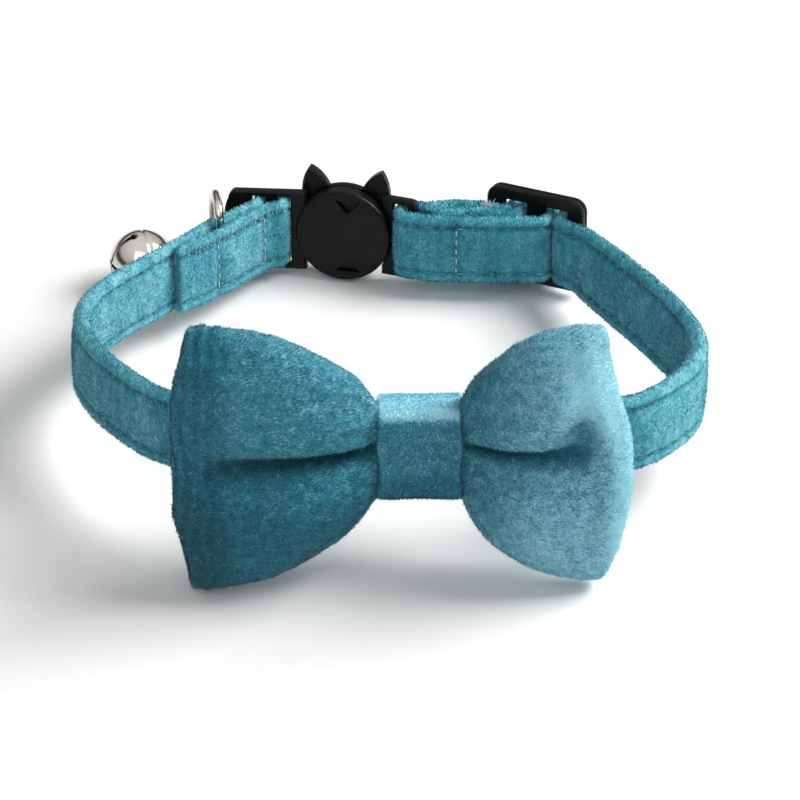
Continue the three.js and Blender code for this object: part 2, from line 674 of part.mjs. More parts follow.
function ringLine() {
  const points = [];
  const arc = (x, y, radius, from, to, steps) => {
    for (let i = 0; i <= steps; i += 1) {
      const angle = (from + ((to - from) * i) / steps) * degrees;
      points.push(new THREE.Vector2(x + radius * Math.cos(angle), y + radius * Math.sin(angle)));
    }
  };
  arc(ringCorner, ringHalf - ringCorner, ringCorner, 180, 90, 4);
  arc(ringReach - ringHalf, 0, ringHalf, 90, -90, 16);
  arc(ringCorner, ringCorner - ringHalf, ringCorner, -90, -180, 4);
  return points;
}

function closedWire(points, radius, sides) {
  const rings = points.map((point, i) => {
    const ahead = points[(i + 1) % points.length];
    const back = points[(i + points.length - 1) % points.length];
    const heading = ahead.clone().sub(back).normalize();
    return Array.from({ length: sides }, (_, k) => {
      const angle = (2 * Math.PI * k) / sides;
      const out = radius * Math.cos(angle);
      return new THREE.Vector3(point.x + heading.y * out, point.y - heading.x * out, radius * Math.sin(angle));
    });
  });
  return skin(rings, true);
}

// Bell, drawn with its loop towards -X and its slit end towards +X
const bellToLoop = bellRadius + loopInner;

function makeBell() {
  const ball = (radius) => toSolid(new THREE.SphereGeometry(radius, 24, 14).rotateZ(Math.PI / 2));
  const loop = toSolid(new THREE.TorusGeometry(loopInner + loopWire / 2, loopWire / 2, 8, 18)
    .rotateX(Math.PI / 2).translate(-bellToLoop, 0, 0));
  let shell = ball(bellRadius).add(loop.subtract(ball(bellRadius - bellWall / 2))).subtract(ball(bellRadius - bellWall));
  const deep = bellRadius * (1 - Math.cos(slitReach * degrees)) + 1;
  for (const turn of [0, Math.PI / 2]) {
    const slot = new THREE.BoxGeometry(deep, 2 * bellRadius * Math.sin(slitReach * degrees), bellSlit);
    slot.translate(bellRadius + 1 - deep / 2, 0, 0).rotateX(turn);
    shell = shell.subtract(toSolid(slot));
    for (const side of [1, -1]) {
      const hole = new THREE.CylinderGeometry(slitEnd / 2, slitEnd / 2, 3, 10).rotateZ(Math.PI / 2);
      hole.translate(bellRadius, 0, 0).rotateZ(side * slitReach * degrees).rotateX(turn);
      shell = shell.subtract(toSolid(hole));
    }
  }
  return toGeometry(shell);
}

// Assembly. The collar's own group is tipped back about the buckle disc's lowest point.
const velvet = material(teal, 0.95, 0);
const bowVelvet = material(darkTeal, 0.95, 0);
const plastic = material(black, 0.45, 0);
const metal = material(nickel, 0.2, 1);

const collar = new THREE.Group();
collar.rotation.x = -collarTip * degrees;
collar.add(named('band', makeBand(), velvet));

const bowGroup = new THREE.Group();
bowGroup.position.set(knotAt.x, knotAt.y, middle);
bowGroup.rotation.set(-bowLean * degrees, 0, bowTurn * degrees, 'ZYX');
const pinchAt = -(knotPress / 2 + gap + pinchThick / 2);
const bow = named('bow', makeBow(), bowVelvet);
const knot = named('knot', makeKnot(), bowVelvet);
bow.position.y = pinchAt;
knot.position.y = pinchAt;
bowGroup.add(bow, knot);
collar.add(bowGroup);

// Stands a piece drawn face on upright in plan, turned about the vertical
function upright(at, turn, ...meshes) {
  const group = new THREE.Group();
  group.position.set(at.x, at.y, middle);
  group.rotation.set(Math.PI / 2, 0, turn * degrees, 'ZYX');
  group.add(...meshes);
  collar.add(group);
  return group;
}

upright(
  buckleAt, -buckleTurn,
  named('buckle_disc_half', makeDiscHalf(), plastic), named('buckle_ear_half', makeEarHalf(), plastic),
);
upright(sliderAt, -sliderTurn, named('slider', makeSlider(), plastic)).position.z += sliderLift;
const ringGroup = upright(
  ringAt, ringTurn, named('d_ring', closedWire(ringLine(), ringWire / 2, 10), metal),
);
ringGroup.position.z += ringLift;

// The link and the bell lie beyond the ring, with the bell on the floor
collar.updateMatrixWorld(true);
const floor = new THREE.Box3().setFromObject(collar, true).min.z;
const hook = ringGroup.localToWorld(new THREE.Vector3(
  ringReach - ringHalf + ringHalf * Math.cos(hookAngle * degrees), ringHalf * Math.sin(hookAngle * degrees), 0,
));
const hookToLink = linkInner - ringWire / 2 - ringSlack;
const linkToLoop = linkInner - loopWire / 2 - gap + loopInner + loopWire / 2;
const reach = hookToLink + linkToLoop + bellToLoop;
const drop = floor + bellRadius - hook.z;
const flat = Math.sqrt(reach * reach - drop * drop);
const bellGroup = new THREE.Group();
bellGroup.position.copy(hook);
bellGroup.rotation.set(0, -Math.asin(drop / reach), bellSwing * degrees, 'ZYX');
const link = named('jump_ring', new THREE.TorusGeometry(linkInner + linkWire / 2, linkWire / 2, 8, 24), metal);
link.position.x = hookToLink;
const bell = named('bell', makeBell(), metal);
bell.position.x = reach;
bellGroup.add(link, bell);
const pellet = named('bell_pellet', new THREE.IcosahedronGeometry(pelletRadius, 2), metal);
pellet.position.set(
  hook.x + flat * Math.cos(bellSwing * degrees), hook.y + flat * Math.sin(bellSwing * degrees),
  floor + bellWall + gap + pelletRadius,
);

// The origin is the middle of the footprint, on the floor
const group = new THREE.Group();
group.add(collar, bellGroup, pellet);
group.updateMatrixWorld(true);
const box = new THREE.Box3().setFromObject(group, true);
group.position.set(-(box.min.x + box.max.x) / 2, -(box.min.y + box.max.y) / 2, -box.min.z);
group.updateMatrixWorld(true);

export default group;
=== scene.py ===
import math
import random

import bmesh
import bpy
from mathutils import Matrix, Vector, noise


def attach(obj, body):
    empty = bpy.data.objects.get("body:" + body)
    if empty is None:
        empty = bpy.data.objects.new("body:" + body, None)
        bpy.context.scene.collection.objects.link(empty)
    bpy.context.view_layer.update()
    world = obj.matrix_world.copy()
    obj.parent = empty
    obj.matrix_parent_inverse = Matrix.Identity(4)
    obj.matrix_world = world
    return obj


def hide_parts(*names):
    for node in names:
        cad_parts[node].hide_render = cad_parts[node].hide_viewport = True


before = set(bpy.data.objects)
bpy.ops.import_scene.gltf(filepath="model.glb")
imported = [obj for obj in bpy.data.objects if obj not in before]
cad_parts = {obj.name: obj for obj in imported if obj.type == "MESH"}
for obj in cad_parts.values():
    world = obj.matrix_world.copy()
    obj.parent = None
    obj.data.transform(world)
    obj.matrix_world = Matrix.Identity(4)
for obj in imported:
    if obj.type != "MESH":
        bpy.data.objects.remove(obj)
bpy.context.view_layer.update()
mm = 0.001
welded = 2e-6  # metres between points that are one point


class Wire:
    # a node's output, so that shader maths reads as plain sums

    def __init__(self, board, socket):
        self.board, self.socket = board, socket

    def math(self, operation, first, second, clamp=False):
        return self.board.node("ShaderNodeMath", {0: first, 1: second}, operation=operation, use_clamp=clamp)

    def __add__(self, other):
        return self.math("ADD", self, other)

    def __radd__(self, other):
        return self.math("ADD", other, self)

    def __sub__(self, other):
        return self.math("SUBTRACT", self, other)

    def __rsub__(self, other):
        return self.math("SUBTRACT", other, self)

    def __mul__(self, other):
        return self.math("MULTIPLY", self, other)

    def __rmul__(self, other):
        return self.math("MULTIPLY", other, self)

    def clamped(self):
        return self.math("ADD", self, 0.0, clamp=True)

    def beside(self, output):
        # another output of the same node
        return Wire(self.board, self.socket.node.outputs[output])


class Board:
    # makes and links the nodes of one tree

    def __init__(self, tree):
        self.tree = tree

    def node(self, kind, values=None, output=0, stops=(), **settings):
        made = self.tree.nodes.new(kind)
        for name, value in settings.items():
            setattr(made, name, value)
        if stops:
            elements = made.color_ramp.elements
            while len(elements) < len(stops):
                elements.new(0.5)
            for element, (position, colour) in zip(elements, stops):
                element.position, element.color = position, (*colour, 1)
        for socket, value in (values or {}).items():
            self.put(made.inputs[socket], value)
        return Wire(self, made.outputs[output]) if made.outputs else None

    def put(self, socket, value):
        if isinstance(value, Wire):
            self.tree.links.new(value.socket, socket)
        else:
            socket.default_value = (*value, 1) if socket.type == "RGBA" else value


class Finish(Board):
    # a material on one Principled shader, with its patterns in millimetres

    def __init__(self, name):
        self.material = bpy.data.materials.new(name)
        self.material.use_nodes = True
        super().__init__(self.material.node_tree)
        self.shader = self.tree.nodes["Principled BSDF"]

    def set(self, **values):
        for name, value in values.items():
            self.put(self.shader.inputs[name.replace("_", " ")], value)

    def place(self, scale=(1, 1, 1), turn=(0, 0, 0)):
        where = self.node("ShaderNodeTexCoord", output="Object")
        factors = tuple(each / mm for each in scale)
        return self.node("ShaderNodeMapping", {"Vector": where, "Scale": factors, "Rotation": turn})

    def grain(self, where, scale, detail=2.0, rough=0.5, twist=0.0):
        return self.node("ShaderNodeTexNoise", {
            "Vector": where, "Scale": scale, "Detail": detail, "Roughness": rough, "Distortion": twist})

    def mix(self, factor, first, second):
        return self.node("ShaderNodeMix", {0: factor, 6: first, 7: second}, output=2, data_type="RGBA")

    def rise(self, value, low, high):
        values = {0: value, 1: low, 2: high, 3: 0.0, 4: 1.0}
        return self.node("ShaderNodeMapRange", values, interpolation_type="SMOOTHSTEP")

    def bump(self, height, distance, strength):
        values = {"Height": height, "Distance": distance * mm, "Strength": strength}
        return self.node("ShaderNodeBump", values)


studio = {
    "cameraAt": (1.98, -456.2, 344.9), "lookAt": (1.98, -7.77, 9.43), "lens": 160.0, "sensor": 36.0,
    "keyAt": (410, 95, 420), "keySize": 0.34, "keyPower": 4.6, "keyColour": (1.0, 0.985, 0.96),
    "fillAt": (-100, -420, 520), "fillSize": 0.5, "fillPower": 0.7, "fillColour": (0.94, 0.97, 1.0),
    "lampsOn": (0, 0, 10), "floorHalf": 3.0,
    "skyAbove": (1.0, 0.975, 0.95), "skyStrength": 0.34,
    # what the metal mirrors, from straight down to straight up: a dark band stands round the room
    "mirrored": ((0.0, 0.55), (0.46, 0.5), (0.53, 0.1), (0.6, 0.06), (0.68, 0.6), (1.0, 1.0)),
    "mirrorTint": (1.0, 0.96, 0.92),
}


def aimed(thing, at, target):
    thing.location = Vector(at) * mm
    thing.rotation_euler = (Vector(target) - Vector(at)).to_track_quat("-Z", "Y").to_euler()
    bpy.context.scene.collection.objects.link(thing)


def makeStudio(values):
    scene = bpy.context.scene
    lens = bpy.data.cameras.new("camera")
    lens.lens, lens.sensor_width, lens.clip_start, lens.clip_end = values["lens"], values["sensor"], 0.01, 20
    scene.camera = bpy.data.objects.new("camera", lens)
    aimed(scene.camera, values["cameraAt"], values["lookAt"])
    for name in ("key", "fill"):
        lamp = bpy.data.lights.new(name, "AREA")
        lamp.size, lamp.energy = values[name + "Size"], values[name + "Power"]
        lamp.color = values[name + "Colour"]
        aimed(bpy.data.objects.new(name, lamp), values[name + "At"], values["lampsOn"])
    scene.view_settings.view_transform = "Standard"

    bm = bmesh.new()
    bmesh.ops.create_grid(bm, x_segments=1, y_segments=1, size=values["floorHalf"])
    floor = asObject("studioFloor", bm)
    paper = Finish("paleFloor")
    speck = paper.grain(paper.place(), 0.4, 3)
    paper.set(Base_Color=paper.mix(speck, (0.93, 0.93, 0.93), (0.95, 0.95, 0.95)), Roughness=0.9)
    floor.data.materials.append(paper.material)

    world = bpy.data.worlds.new("studioSky")
    scene.world = world
    world.use_nodes = True
    sky = Board(world.node_tree)
    plain = world.node_tree.nodes["Background"]
    sky.put(plain.inputs["Color"], values["skyAbove"])
    sky.put(plain.inputs["Strength"], values["skyStrength"])
    up = sky.node("ShaderNodeSeparateXYZ", {0: sky.node("ShaderNodeTexCoord", output="Generated")}, "Z")
    level = sky.node("ShaderNodeMapRange", {"Value": up, "From Min": -1})
    stops = [(at, tuple(bright * c for c in values["mirrorTint"])) for at, bright in values["mirrored"]]
    mirrored = sky.node("ShaderNodeValToRGB", {0: level}, stops=stops)
    glossy = sky.node("ShaderNodeBackground", {"Color": mirrored})
    inMirror = sky.node("ShaderNodeLightPath", output="Is Glossy Ray")
    both = sky.node("ShaderNodeMixShader", {0: inMirror, 1: Wire(sky, plain.outputs[0]), 2: glossy})
    sky.put(world.node_tree.nodes["World Output"].inputs["Surface"], both)


def asObject(name, bm):
    mesh = bpy.data.meshes.new(name)
    bm.to_mesh(mesh)
    bm.free()
    mesh.polygons.foreach_set("use_smooth", [True] * len(mesh.polygons))
    made = bpy.data.objects.new(name, mesh)
    bpy.context.scene.collection.objects.link(made)
    return made


def cadCopy(node):
    bm = bmesh.new()
    bm.from_mesh(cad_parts[node].data)
    bmesh.ops.remove_doubles(bm, verts=bm.verts, dist=welded)
    return bm


def baked(thing):
    # applies the modifiers
    seen = thing.evaluated_get(bpy.context.evaluated_depsgraph_get())
    thing.data = bpy.data.meshes.new_from_object(seen)
    thing.modifiers.clear()


def finer(thing, levels):
    soft = thing.modifiers.new("finer", "SUBSURF")
    soft.levels = soft.render_levels = levels
    baked(thing)


def onBody(thing, nodes=(), finish=None):
    if finish:
        thing.data.materials.clear()
        thing.data.materials.append(finish.material)
    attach(thing, "root")
    if nodes:
        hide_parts(*nodes)


def placed(origin, across, up):
    # a local frame: X across, Z up, Y into the object
    x, z = Vector(across).normalized(), Vector(up).normalized()
    y = z.cross(x)
    return Matrix.Translation(Vector(origin) * mm) @ Matrix((x, y, z)).transposed().to_4x4()


def grownRing(bm, edges):
    # extrudes an open ring of edges once, and gives the new ring's points and edges
    made = bmesh.ops.extrude_edge_only(bm, edges=edges)["geom"]
    points = [g for g in made if isinstance(g, bmesh.types.BMVert)]
    return points, [g for g in made if isinstance(g, bmesh.types.BMEdge)]


def turnedRing(bm, segments):
    # a circle whose points remember their angle in the "turn" layer
    turn = bm.verts.layers.float.get("turn") or bm.verts.layers.float.new("turn")
    ring = bmesh.ops.create_circle(bm, segments=segments, radius=1)["verts"]
    for v in ring:
        v[turn] = math.atan2(v.co.y, v.co.x)
    return ring, [edge for edge in bm.edges if edge.verts[0] in ring], turn


def inOrder(bm):
    # extruding leaves points and faces in a new order on each run, and the pile's seeds follow that order
    along = Vector((0.31, 0.53, 0.79))
    bm.verts.sort(key=lambda v: v.co.dot(along))
    bm.verts.index_update()
    for parts in (bm.edges, bm.faces):
        parts.sort(key=lambda part: sum(v.co.dot(along) for v in sorted(part.verts, key=lambda v: v.index)))


def ripple(point, size, seed=0.0):
    return noise.noise(Vector(point) / (size * mm) + Vector((seed, seed * 1.7, -seed)))


def hump(value, middle, width):
    return math.exp(-(((value - middle) / width) ** 2))


def ramp(value, low, high):
    t = min(1.0, max(0.0, (value - low) / (high - low)))
    return t * t * (3 - 2 * t)


velvetLook = {
    # deep is a painted-shade tone, body the velvet's own colour, and bright a painted highlight, whitened
    # like sheen
    "strap": {"deep": (0.024, 0.15, 0.205), "body": (0.07, 0.39, 0.49), "bright": (0.36, 0.75, 0.84)},
    "bow": {"deep": (0.018, 0.115, 0.165), "body": (0.06, 0.35, 0.47), "bright": (0.45, 0.82, 0.92)},
    "level": 0.27, "swing": 0.36,  # the base tone before painted light and shade are added, and how far the random tone varies
    "sheen": (0.72, 0.9, 0.95),
}


def velvet(name, tones, lie):
    # streaks lie along the pile; the piece's own stored values add painted light and shade, with some random
    # tone, to its colour
    cloth = Finish(name)
    streak = cloth.grain(cloth.place(scale=lie), 1.0, 3, 0.6, 0.4)
    patch = cloth.grain(cloth.place(), 0.16, 3, 0.55, 0.4)
    fluff = cloth.grain(cloth.place(), 1.9, 2, 0.6)
    storedPaintedLightAndTone = cloth.node("ShaderNodeAttribute", output="Fac", attribute_name="paintedLightAndTone")
    paintedLightAndTone = cloth.rise(patch * 0.2 + streak * 0.5 + fluff * 0.3, 0.28, 0.72)
    paintedLightAndTone = (paintedLightAndTone * velvetLook["swing"] + velvetLook["level"] + storedPaintedLightAndTone).clamped()
    # mixed from the painted-shade tone through the body colour to the painted-highlight tone
    low = cloth.mix((paintedLightAndTone * 2).clamped(), tones["deep"], tones["body"])
    colour = cloth.mix((paintedLightAndTone * 2 - 1).clamped(), low, tones["bright"])
    relief = cloth.bump(streak * 0.5 + fluff * 0.5, 0.35, 0.9)
    cloth.set(Base_Color=colour, Roughness=cloth.rise(streak, 0.2, 0.8) * 0.15 + 0.82, Normal=relief)
    cloth.set(Specular_IOR_Level=0.15, Sheen_Weight=0.8, Sheen_Roughness=0.35, Sheen_Tint=velvetLook["sheen"])
    return cloth


def storePaintedLight(thing, measure):
    # writes painted light and shade into every point: below 0 is painted shade, above 0 painted light
    values = [measure(v.co) for v in thing.data.vertices]
    thing.data.attributes.new("paintedLightAndTone", "FLOAT", "POINT").data.foreach_set("value", values)


pileLook = {
    "threadLong": 0.52, "threadWide": 0.12, "rise": 32, "sizes": (0.55, 1.25),
    "roll": 0.3, "droop": 0.45, "stray": 40,  # how far a fibre strays: two turns in radians, one in degrees
    "bandDensity": 19, "bowDensity": 30, "knotDensity": 30,  # fibres to the square millimetre
    "patchSize": 700.0, "patchShare": 0.8, "speckle": (-0.16, 0.34),
    # thresholds between the fibres' lit and shaded copies
    "tonesFrom": (0.12, 0.3, 0.45, 0.6, 0.75, 0.9),
    "sheen": (0.6, 0.9, 0.95),
}


def pileFinishes(name, tones):
    # one finish for each step from the painted-shade tone through the body colour to the painted-highlight
    # tone: lit and shaded copies of one velvet
    finishes, last = [], len(pileLook["tonesFrom"])
    for i in range(last + 1):
        level = 2 * i / last
        low, high = ("deep", "body") if level < 1 else ("body", "bright")
        colour = Vector(tones[low]).lerp(Vector(tones[high]), level if level < 1 else level - 1)
        fibre = Finish(f"{name}{i}")
        fibre.set(Base_Color=colour, Roughness=0.75, Specular_IOR_Level=0.2)
        fibre.set(Sheen_Weight=0.4, Sheen_Roughness=0.4, Sheen_Tint=pileLook["sheen"])
        finishes.append(fibre)
    return finishes


def pileTree(name, density, lean, seed, finishes):
    # scatters one-face fibres over a cloth, lying mostly along "lean"
    tree = bpy.data.node_groups.new(name, "GeometryNodeTree")
    tree.interface.new_socket("Cloth", in_out="INPUT", socket_type="NodeSocketGeometry")
    tree.interface.new_socket("Pile", in_out="OUTPUT", socket_type="NodeSocketGeometry")
    board = Board(tree)
    node = board.node

    def anyNumber(low, high, offset):
        values = {2: low, 3: high, "Seed": seed + offset}
        return node("FunctionNodeRandomValue", values, 1, data_type="FLOAT")

    spread = node("GeometryNodeDistributePointsOnFaces", {
        "Mesh": node("NodeGroupInput"), "Density": density / mm**2, "Seed": seed})
    rise, stray = math.radians(pileLook["rise"]), math.radians(pileLook["stray"])
    long, wide = pileLook["threadLong"] * mm, pileLook["threadWide"] * mm
    # a triangle stands on one point: its own middle is a third of its length along
    fibre = node("GeometryNodeTransform", {
        "Geometry": node("GeometryNodeMeshCircle", {"Vertices": 3, "Radius": 1.0}, fill_type="NGON"),
        "Scale": (long / 1.5, wide, 1.0), "Rotation": (0.0, -rise, 0.0),
        "Translation": (long / 3 * math.cos(rise), 0.0, long / 3 * math.sin(rise))})
    upright = node("FunctionNodeAlignRotationToVector", {"Vector": spread.beside("Normal")}, axis="Z")
    combed = node("FunctionNodeAlignRotationToVector", {"Rotation": upright, "Vector": lean},
                  axis="X", pivot_axis="Z")
    roll, droop = pileLook["roll"], pileLook["droop"]
    turns = node("ShaderNodeCombineXYZ", {
        0: anyNumber(-roll, roll, 1), 1: anyNumber(-droop, roll, 2), 2: anyNumber(-stray, stray, 3)})
    wobble = node("FunctionNodeEulerToRotation", {0: turns})
    turned = node("FunctionNodeRotateRotation", {"Rotation": combed, "Rotate By": wobble},
                  rotation_space="LOCAL")
    grown = node("GeometryNodeInstanceOnPoints", {
        "Points": spread, "Instance": fibre, "Rotation": turned, "Scale": anyNumber(*pileLook["sizes"], 4)})
    fibres = node("GeometryNodeRealizeInstances", {0: grown})
    patches = node("ShaderNodeTexNoise", {
        "Vector": node("GeometryNodeInputPosition"), "Scale": pileLook["patchSize"], "Detail": 3.0})
    storedPaintedLightAndTone = node("GeometryNodeInputNamedAttribute", {"Name": "paintedLightAndTone"}, data_type="FLOAT")
    # each fibre's copy is picked by the cloth's painted light and shade, plus random patches and speckle
    fibreLightAndTone = storedPaintedLightAndTone + (patches * pileLook["patchShare"] + anyNumber(*pileLook["speckle"], 5))
    fibres = node("GeometryNodeSetMaterial", {"Geometry": fibres, "Material": finishes[0].material})
    for finish, least in zip(finishes[1:], pileLook["tonesFrom"]):
        chosen = node("FunctionNodeCompare", {0: fibreLightAndTone, 1: least}, operation="GREATER_THAN", data_type="FLOAT")
        fibres = node("GeometryNodeSetMaterial", {
            "Geometry": fibres, "Selection": chosen, "Material": finish.material})
    node("NodeGroupOutput", {0: fibres})
    return tree


def growPile(name, cloth, density, lean, seed, finishes):
    pile = bpy.data.objects.new(name, cloth.data.copy())
    bpy.context.scene.collection.objects.link(pile)
    pile.data.materials.clear()
    pile.modifiers.new("pile", "NODES").node_group = pileTree(name, density, lean, seed, finishes)
    baked(pile)
    onBody(pile)
    print("pile", name, len(pile.data.polygons))


strapLook = {
    "tall": 5.9, "step": 0.7,  # half the strap's width, and the length of one step along it
    "stitchFromEdge": 1.75, "grooveDeep": 0.26, "grooveWide": 0.42,
    "crown": 0.12, "rimRoll": 0.16, "rimAt": 0.85, "rimWide": 0.5, "squareness": 9, "thinnest": 0.12,
    "flutter": 0.16, "sway": 0.077, "tackDent": 0.32, "tackWide": 0.9,
    # painted light and shade in its colour, with patches and streaks of random tone
    "paintedLightRight": 0.2, "paintedSheenOuterLeft": 0.14, "napPatch": 0.08, "napStreak": 0.2,
    "paintedShadeSeam": 0.25, "paintedShadeTack": 0.15,
}


def strapRings():
    # the solid's rings, from the tail's sewn end to the end inside the slider's layers
    bm = cadCopy("band")
    bm.verts.index_update()
    sides = 8
    hub = min((v for v in bm.verts if len(v.link_edges) == sides), key=lambda v: v.co.x)
    seen, rings = {hub}, []
    ring = [edge.other_vert(hub) for edge in hub.link_edges]
    while len(ring) == sides:
        ring.sort(key=lambda v: v.index)
        seen.update(ring)
        tall = sorted(ring, key=lambda v: v.co.z)
        halves = tall[:sides // 2], tall[sides // 2:]
        lower, upper = (sum((v.co for v in half), Vector()) for half in halves)
        rings.append(((lower + upper) / sides, (upper - lower).normalized(), [v.co.copy() for v in ring]))
        ring = list({edge.other_vert(v) for v in ring for edge in v.link_edges} - seen)
    stations, last = [], len(rings) - 1
    for i, (middle, up, points) in enumerate(rings):
        heading = (rings[min(i + 1, last)][0] - rings[max(i - 1, 0)][0]).normalized()
        side = heading.cross(up).normalized()
        spread = [(p - middle).dot(side) for p in points]
        stations.append({"at": middle, "up": up, "half": (max(spread) - min(spread)) / 2})
    bm.free()
    return stations


def smoothRoute(rings, step):
    # a smooth line through the rings' middles, with a station about every step
    route, along, last = [], 0.0, len(rings) - 1
    legs = [rings[i + 1]["at"] - rings[i]["at"] for i in range(last)]
    spans = [leg.length for leg in legs]
    slopes = [leg / span for leg, span in zip(legs, spans)]
    tangents = [slopes[0]]
    for i in range(1, last):
        tangents.append((slopes[i - 1] * spans[i] + slopes[i] * spans[i - 1]) / (spans[i] + spans[i - 1]))
    tangents.append(slopes[-1])
    for i in range(last):
        a, b, span = rings[i], rings[i + 1], spans[i]
        pieces = max(1, round(span / (step * mm)))
        for k in range(pieces + (i == last - 1)):
            t = k / pieces
            h = (2 * t**3 - 3 * t**2 + 1, t**3 - 2 * t**2 + t, 3 * t**2 - 2 * t**3, t**3 - t**2)
            at = a["at"] * h[0] + tangents[i] * (span * h[1])
            at += b["at"] * h[2] + tangents[i + 1] * (span * h[3])
            route.append({
                "at": at, "up": a["up"].lerp(b["up"], t).normalized(),
                "half": a["half"] + (b["half"] - a["half"]) * t, "along": along + span * t})
        along += span
    for i, station in enumerate(route):
        ahead, back = route[min(i + 1, len(route) - 1)]["at"], route[max(i - 1, 0)]["at"]
        station["heading"] = (ahead - back).normalized()
        station["side"] = station["heading"].cross(station["up"]).normalized()
    return route


def strapSection(values):
    # one outline round the strap: (share of its half thickness, height from its middle)
    tall, line = values["tall"], values["tall"] - values["stitchFromEdge"]
    fromEdge, fromLine = (0, 0.1, 0.3, 0.65, 1.1), (-0.3, 0, 0.35, 0.8)  # closer where it bends more
    levels = [d - tall for d in fromEdge] + [d - line for d in fromLine] + [-2.2, -0.75]
    levels += [-level for level in reversed(levels)]

    def share(level):
        high = abs(level)
        edge = max(0.0, 1 - (high / tall) ** values["squareness"]) ** 0.5
        crown = values["crown"] * (1 - (high / line) ** 2 if high < line else 0)
        rim = values["rimRoll"] * hump(high, tall - values["rimAt"], values["rimWide"])
        groove = values["grooveDeep"] * hump(high, line, values["grooveWide"])
        return max(values["thinnest"], edge * (1 + crown + rim) - groove)

    outer = [(share(level), level) for level in levels]
    return outer + [(-part, level) for part, level in reversed(outer)]


def makeBand(values, route, tacks):
    section, tall = strapSection(values), values["tall"]
    bm = bmesh.new()
    turn, paintedLightAndTone = bm.verts.layers.int.new("turn"), bm.verts.layers.float.new("paintedLightAndTone")
    ring = bmesh.ops.create_circle(bm, segments=len(section), radius=1)["verts"]
    for i, v in enumerate(ring):
        v[turn] = i
    edges = list(bm.edges)

    def paintedLightAndToneAt(station, share, level, dent):
        # painted light where it faces right, painted sheen on the outside of the left turn, painted shade in
        # the stitch grooves and tack dents, and random patches and streaks
        facing = station["side"] * math.copysign(1, share)
        outside = max(0, facing.dot(station["at"].normalized()))
        thread = (station["along"], 0.3 * level * mm, 0.01 * math.copysign(1, share))
        lit = values["paintedLightRight"] * max(0, facing.x) + values["paintedSheenOuterLeft"] * outside * max(0, -facing.x)
        lit += values["napPatch"] * ripple(station["at"] + facing * mm, 9, 5)
        lit += values["napStreak"] * ripple(thread, 1.2, 13)
        lit -= values["paintedShadeSeam"] * hump(abs(level), tall - values["stitchFromEdge"], 0.4)
        return lit - values["paintedShadeTack"] * dent

    def shape(verts, station):
        along = station["along"]
        sway = ripple((along, 0, 0), 14, 3) * values["sway"]
        dent = max(hump(along / mm, tack["along"] / mm, values["tackWide"]) for tack in tacks)
        for v in verts:
            share, level = section[v[turn]]
            trim = ripple((along, level * mm, share * mm), 1.6, 7) * values["flutter"]
            rim = 1 if abs(level) > tall - 1 else 0.35
            thick = share * station["half"] * (1 + 0.18 * trim - values["tackDent"] * dent)
            high = level + math.copysign(trim * rim, level) + sway
            v.co = station["at"] + station["side"] * thick + station["up"] * (high * mm)
            v[paintedLightAndTone] = paintedLightAndToneAt(station, share, level, dent)

    shape(ring, route[0])
    for station in route[1:]:
        ring, edges = grownRing(bm, edges)
        shape(ring, station)
    bmesh.ops.holes_fill(bm, edges=[e for e in bm.edges if e.is_boundary])
    bmesh.ops.recalc_face_normals(bm, faces=bm.faces)
    inOrder(bm)
    return asObject("bandVelvet", bm)


threadLook = {
    "long": 1.75, "pitch": 2.65, "thick": 0.3, "from": 1.2, "lift": 0.04,  # the two sewn lines
    "tailTacks": (-28.4, -21.4), "tailReach": 40.0,  # rows across the tail, at these x
    "foldTack": 11.0, "foldReach": (60.0, 24.0),  # and a row across the slider's fold
    "tackCount": 5, "tackPitch": 1.7, "tackLong": (1.0, 1.5), "tackThick": 0.26, "tackSink": 0.12,
}
neckMiddle = Vector((2, -2, 0)) * mm


def dash(bm, at, heading, out, long, thick):
    # one stitch
    made = bmesh.ops.create_icosphere(bm, subdivisions=1, radius=1)["verts"]
    side = heading.cross(out).normalized()
    turn = Matrix((heading * long / 2, side * thick / 2, out * thick / 2)).transposed().to_4x4()
    bmesh.ops.transform(bm, matrix=Matrix.Translation(at) @ turn, verts=made)


def surfacePoint(station, sign, level, lift):
    # a point on one face of the strap, and the direction out of it
    section = strapSection(strapLook)
    share = min((s for s in section if s[0] > 0), key=lambda s: abs(s[1] - level))[0]
    out = station["side"] * sign
    return station["at"] + out * (share * station["half"] + lift * mm) + station["up"] * (level * mm), out


def makeTopStitch(values, route):
    bm = bmesh.new()
    line = strapLook["tall"] - strapLook["stitchFromEdge"]
    chance = random.Random(5)
    due = values["from"] * mm
    for station in route[2:-2]:
        if station["along"] < due:
            continue
        due += values["pitch"] * mm
        for sign in (1, -1):
            for level in (line, -line):
                at, out = surfacePoint(station, sign, level, values["lift"])
                heading = (station["heading"] + station["up"] * chance.uniform(-0.05, 0.05)).normalized()
                long = values["long"] * mm * chance.uniform(0.85, 1.1)
                dash(bm, at, heading, out, long, values["thick"] * mm)
    return asObject("topStitch", bm)


def nearest(route, x, low, high):
    # the station nearest to this x, between two distances along the strap
    inRange = [s for s in route if low <= s["along"] / mm <= high]
    return min(inRange, key=lambda s: abs(s["at"].x - x * mm))


def neckSide(station):
    return 1 if station["side"].dot(neckMiddle - station["at"]) > 0 else -1


def tackRows(values, route):
    # where rows of stitches across the strap hold its folded layers together
    total = route[-1]["along"] / mm
    first, last = values["foldReach"]
    rows = [nearest(route, x, 0, values["tailReach"]) for x in values["tailTacks"]]
    return rows + [nearest(route, values["foldTack"], total - first, total - last)]


